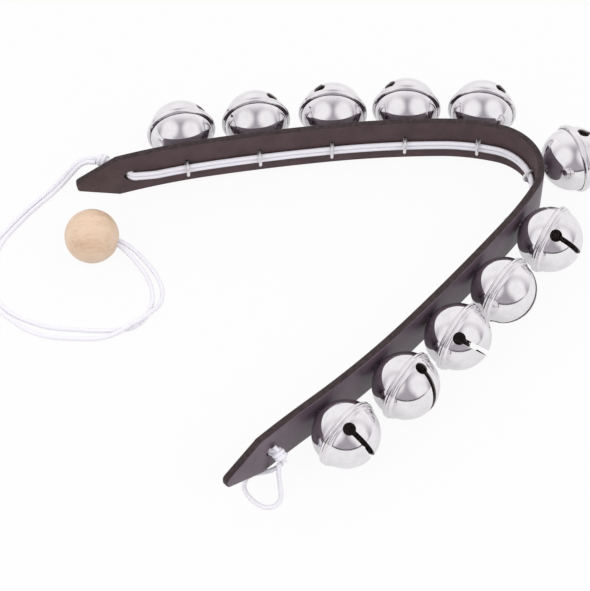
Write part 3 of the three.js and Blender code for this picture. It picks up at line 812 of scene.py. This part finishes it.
# %% [markdown]
# ## Wire shanks
# Each bell is held by one bent wire: a round eye that is pushed through the slit, two legs that
# enter the bell through a hole, and ends spread apart inside, so it can't be pulled out. The
# cord's weight and pull draw the eye down, so the legs slope where they pass the leather. The
# wire is swept along that line, as it is bent in one piece from round stock.

# %% Shanks
WIRE, EYE, EYE_REACH, WALL, LEG_GAP = 1.5, 8.4, 5.2, 0.8, 0.4
SPLAY_START, SPLAY_BEND, SPLAY_ANGLE, SPLAY_REACH = 0.1, 1.2, radians(70), 4.2
BELL_GAP, BEND_BELL, BEND_BELL_GAP, EYE_STEPS, SPLAY_STEPS = 0.5, 6, 2.2, 20, 5
SLOPE_START, SLOPE_RUN, STRAIGHT_FROM = 0.8, 2.9, 2.1
half_strap = STRAP_THICK / MM / 2
leg = LEG_GAP / 2 + WIRE / 2
eye_radius = EYE / 2 - WIRE / 2
eye_middle = EYE / 2 - half_strap - EYE_REACH
neck = asin(leg / eye_radius)


def ease(share):
    """0 up to share 0, 1 from share 1 on, and a smooth rise between."""
    share = min(1.0, max(0.0, share))
    return share * share * (3 - 2 * share)


def eye_drop(x):
    """How much lower the wire lies than the bell's middle, x millimetres outward."""
    return EYE_DROP * (1 - ease((x + SLOPE_START) / SLOPE_RUN))


for number, (bell, place_of) in enumerate(places.items(), 1):
    gap = BEND_BELL_GAP if number == BEND_BELL else BELL_GAP
    bend_start = half_strap + gap + WALL + SPLAY_START
    half = [(eye_middle + eye_radius * cos(pi - (pi - neck) * k / EYE_STEPS),
             eye_radius * sin(pi - (pi - neck) * k / EYE_STEPS)) for k in range(EYE_STEPS + 1)]
    half += [(eye_middle + eye_radius * cos(neck) + WIRE / 2, leg), (STRAIGHT_FROM, leg)]
    half += [(bend_start + SPLAY_BEND * sin(SPLAY_ANGLE * k / SPLAY_STEPS),
              leg + SPLAY_BEND * (1 - cos(SPLAY_ANGLE * k / SPLAY_STEPS)))
             for k in range(SPLAY_STEPS + 1)]
    end_x, end_z = half[-1]
    half += [(end_x + (SPLAY_REACH - end_z) / tan(SPLAY_ANGLE), SPLAY_REACH)]
    centre = half_strap + gap + SHELL
    bent_wire = [(x, -z) for x, z in reversed(half[1:])] + half
    line = [Vector(((x - centre) * MM, 0, z * MM - eye_drop(x))) for x, z in bent_wire]
    wire = bmesh.new()
    sweep(wire, smooth_line(line, step=0.0005), WIRE / 2 * MM, sides=14)
    put(f"{bell}_wire", wire, place_of, "strap", f"{bell}_shank", [wire_finish])
    wire.free()
print("shanks:", len(places))

# %% [markdown]
# ## Pellets
# A loose steel ball strikes the shells. Such balls are headed cold from wire, which leaves a
# faint band round the middle and a small flat at each pole. The outline has both, and is spun.

# %% Pellets
steel, steel_shader, place = new_finish("pellet_steel", Metallic=1.0)
pits = speckle(place, 0.0005, 3.0, 0.7)
lay_on(steel_shader, "Base Color", pits.tint((0.22, 0.21, 0.21), (0.52, 0.51, 0.51)))
lay_on(steel_shader, "Roughness", pits * 0.3 + 0.25)
lay_on(steel_shader, "Normal", relief(pits, 0.00004))
PELLET, POLE_FLAT, BAND, BAND_HALF = 3.2, 3.152, 3.2384, 0.12
upper = [(0, POLE_FLAT), *arc(PELLET, radians(10), radians(84), steps=12), (BAND, BAND_HALF)]
pellet_outline = [*upper, *[(r, -h) for r, h in reversed(upper)]]
pellet = turned([(r * MM, h * MM) for r, h in pellet_outline], steps=40, turn_matrix=upright)
for bell in places:
    low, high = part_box(f"{bell}_pellet")
    middle = Matrix.Translation((low + high) / 2)
    put(f"{bell}_ball", pellet, middle, bell.replace("bell", "pellet"),
        f"{bell}_pellet", [steel])
print("pellets:", len(places))

# %% [markdown]
# ## Held cord and knots
# Inside the strap the cord runs twice through all the eyes, and turns out through a hole near
# each tip. A knot outside each hole keeps it from slipping back. A knot is the cord itself, so
# the two strands go straight through it, and a doubled turn lies tight round them.

# %% Held cord
STRAND_STEP, CORD_OFF, CORD_BEND, HELD_STEPS = 0.00245, 0.0032, 0.0042, 130
BEND_SHIFT, BEND_STEPS, MOUTH_SHIFT, MOUTH_OUT = 0.0006, 6, 0.0014, 0.0026
CLEAR_OF_HOLE, DROP_RUN = 0.001, 0.013
tail_knot_place = on_strap(0.0153, 0.009, BELL_HEIGHT + 0.0008)
loop_knot_place = on_strap(STRAP_LENGTH - 0.026, 0.0058, BELL_HEIGHT - 0.0006)


def drop(distance):
    """How much lower the cord lies than the bells' middles: more at the eyes."""
    from_hole = min(distance, STRAP_LENGTH - distance) - HOLE_FROM_TIP
    return HOLE_DROP + (EYE_DROP - HOLE_DROP) * ease((from_hole - CLEAR_OF_HOLE) / DROP_RUN)


def held_strand(height):
    """One strand's line from knot to knot."""
    far = HOLE_FROM_TIP - BEND_SHIFT
    near = STRAP_LENGTH - far
    up = Vector((0, 0, height - BELL_HEIGHT))
    at_hole = height - HOLE_DROP
    share = pi / (2 * BEND_STEPS)
    bend = [(CORD_BEND * (1 - cos(share * k)), CORD_BEND * (1 - sin(share * k)) - CORD_OFF)
            for k in range(BEND_STEPS + 1)]
    points = [tail_knot_place + up, on_strap(HOLE_FROM_TIP - MOUTH_SHIFT, MOUTH_OUT, at_hole)]
    points += [on_strap(far + along, out, at_hole) for along, out in bend]
    first, last = far + CORD_BEND, near - CORD_BEND
    held = [first + (last - first) * k / HELD_STEPS for k in range(1, HELD_STEPS)]
    points += [on_strap(along, -CORD_OFF, height - drop(along)) for along in held]
    points += [on_strap(near - along, out, at_hole) for along, out in reversed(bend)]
    return [*points, on_strap(near, STRAP_THICK / 2, at_hole), loop_knot_place + up]


for name, side in (("upper", 1), ("lower", -1)):
    shape = bmesh.new()
    line = smooth_line(held_strand(BELL_HEIGHT + side * STRAND_STEP / 2), step=0.001)
    sweep(shape, line, CORD / 2)
    add_piece(f"cord_held_{name}", shape, "strap", f"cord_run_{name}",
              [elastic], smooth=60)
    print(f"cord_held_{name}", round(line_length(line), 3), "m")


# %% Knots
TURN_RADIUS, TURN_LEAN, TURN_SHARE = 0.0020, 0.0009, 0.46
HALF_TURN, TURN_START, TUCK_FROM, TUCK = 1.35 * pi, 0.4, 0.62, 5.5
TURN_POINTS, CORE_POINTS, CORE_LENGTH = 60, 8, 0.0075


def knot(name, centre, before, after, replaces):
    """Two strands that pass through, and a doubled turn drawn tight round them."""
    shape = bmesh.new()
    way = (after - before).normalized()
    side = way.cross(Vector((0, 0, 1))).normalized()
    up = side.cross(way)
    for strand in (-1, 1):
        turn = []
        for k in range(TURN_POINTS + 1):
            part = k / TURN_POINTS * 2 - 1
            angle = part * HALF_TURN + TURN_START
            out = TURN_RADIUS * (1 - max(0.0, abs(part) - TUCK_FROM) ** 2 * TUCK)
            axial = strand * CORD * TURN_SHARE + part * TURN_LEAN
            turn.append(centre + way * axial + side * cos(angle) * out + up * sin(angle) * out)
        sweep(shape, smooth_line(turn, step=0.0004), CORD / 2)
        offset = Vector((0, 0, strand * STRAND_STEP / 2))
        core = [centre + offset + way * (k / CORE_POINTS - 0.5) * CORE_LENGTH
                for k in range(CORE_POINTS + 1)]
        sweep(shape, smooth_line(core, step=0.0006), CORD / 2)
    add_piece(name, shape, "strap", replaces, [elastic], smooth=60)


far_mouth = on_strap(HOLE_FROM_TIP, STRAP_THICK / 2, BELL_HEIGHT)
near_mouth = on_strap(STRAP_LENGTH - HOLE_FROM_TIP, STRAP_THICK / 2, BELL_HEIGHT)
knot("cord_knot_far", tail_knot_place, far_mouth, (line_a[0] + line_b[0]) / 2, "tail_knot")
knot("cord_knot_near", loop_knot_place, near_mouth, (fold_line[0] + fold_line[-1]) / 2,
     "loop_knot")
